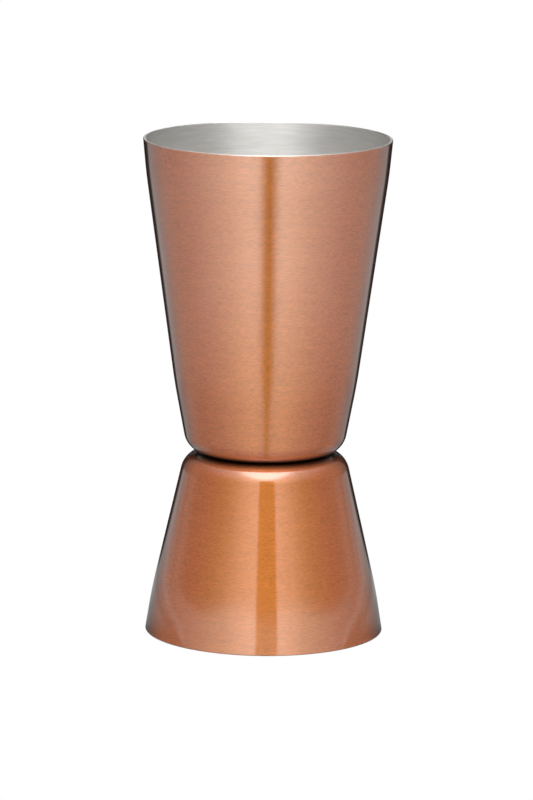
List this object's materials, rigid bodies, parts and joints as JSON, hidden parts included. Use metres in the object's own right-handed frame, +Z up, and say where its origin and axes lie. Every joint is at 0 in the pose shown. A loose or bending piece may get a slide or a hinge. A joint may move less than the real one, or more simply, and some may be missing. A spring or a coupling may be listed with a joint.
{
  "type": "bar jigger",
  "caption": "Double-ended bar jigger: a tall and a short tapered metal cup joined base to base, copper finish outside, plain brushed steel inside.",
  "frame": {"origin": "on the axis of the cups, at the plane that the lower rim stands on", "axes": "+Z up along the axis, from the short cup's rim to the tall cup's rim; X and Y are equivalent"},
  "size_m": [0.0422, 0.0422, 0.085],
  "materials": {
    "copper_finish": "copper-plated stainless steel, brushed round the axis, clear gloss lacquer",
    "bare_steel": "fused stainless steel, dull grey"
  },
  "bodies": {
    "root": {"upper_cup": "copper_finish", "lower_cup": "copper_finish", "spot_weld_1": "bare_steel", "spot_weld_2": "bare_steel", "spot_weld_3": "bare_steel"}
  },
  "joints": []
}
